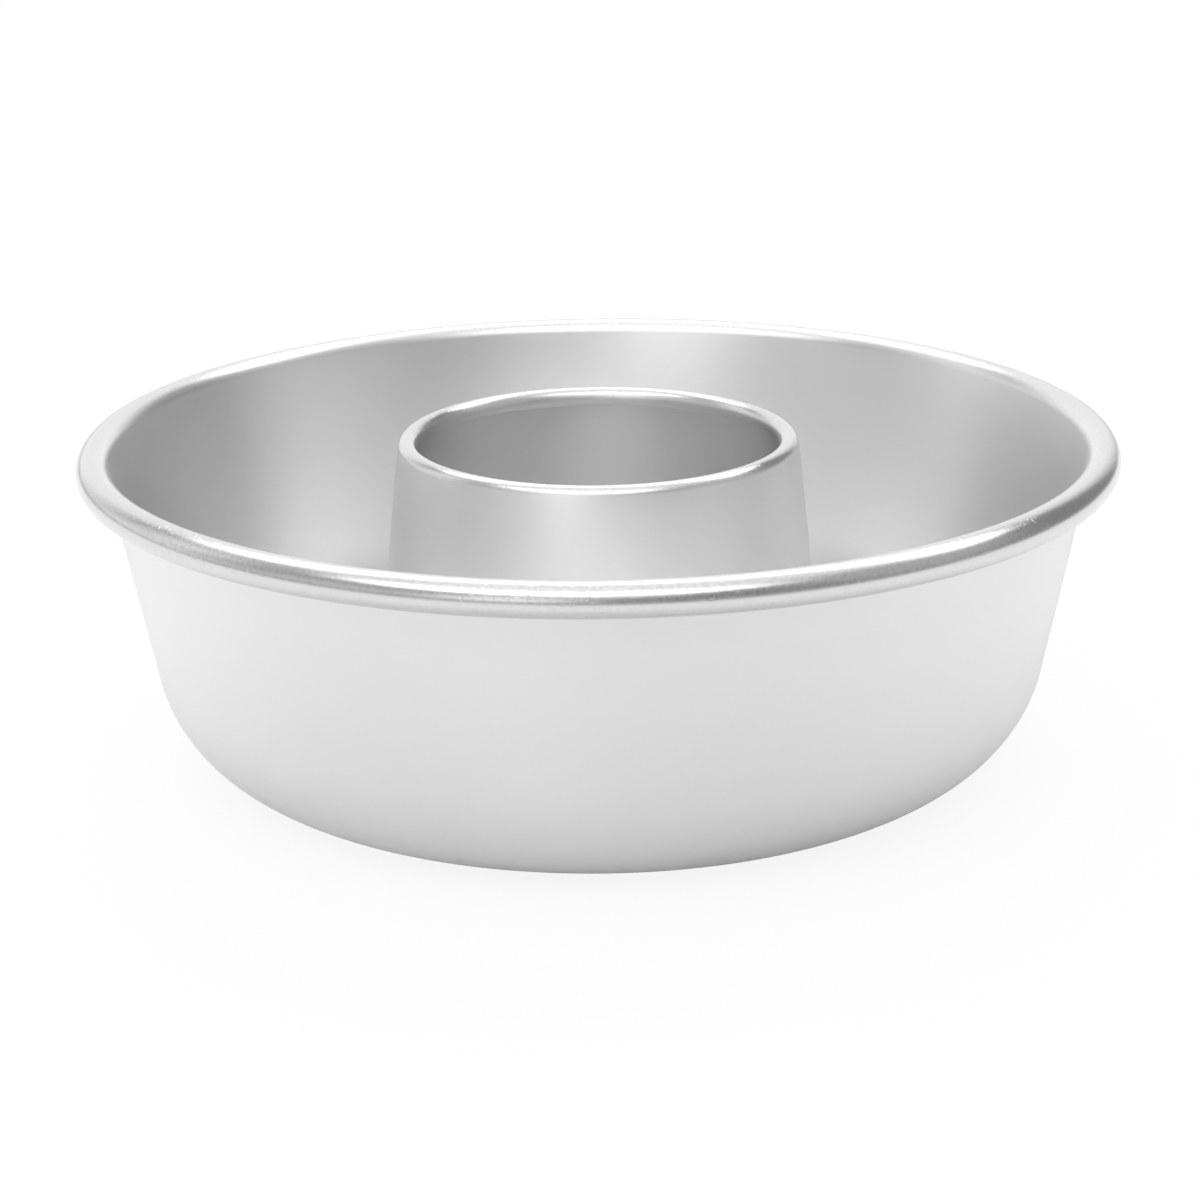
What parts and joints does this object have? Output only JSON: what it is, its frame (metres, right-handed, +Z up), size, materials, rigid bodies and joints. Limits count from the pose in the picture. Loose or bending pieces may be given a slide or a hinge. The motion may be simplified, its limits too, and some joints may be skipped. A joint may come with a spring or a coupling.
{
  "type": "ring cake pan",
  "caption": "Round ring-shaped cake pan with a rolled rim, a rounded lower corner and an open tapered tube at its centre.",
  "frame": {"origin": "middle of the plane that the pan stands on", "axes": "+Z up along the pan's axis, from the floor towards the open rim"},
  "size_m": [0.242, 0.242, 0.0785],
  "materials": {
    "pan_sheet": "satin anodised, with a brighter rolled rim",
    "tube_sheet": "satin anodised, with a brighter rolled top",
    "edge_wire": "drawn wire, plain"
  },
  "bodies": {
    "root": {"pan_shell": "pan_sheet", "centre_tube": "tube_sheet", "rim_wire": "edge_wire", "tube_wire": "edge_wire"}
  },
  "joints": []
}
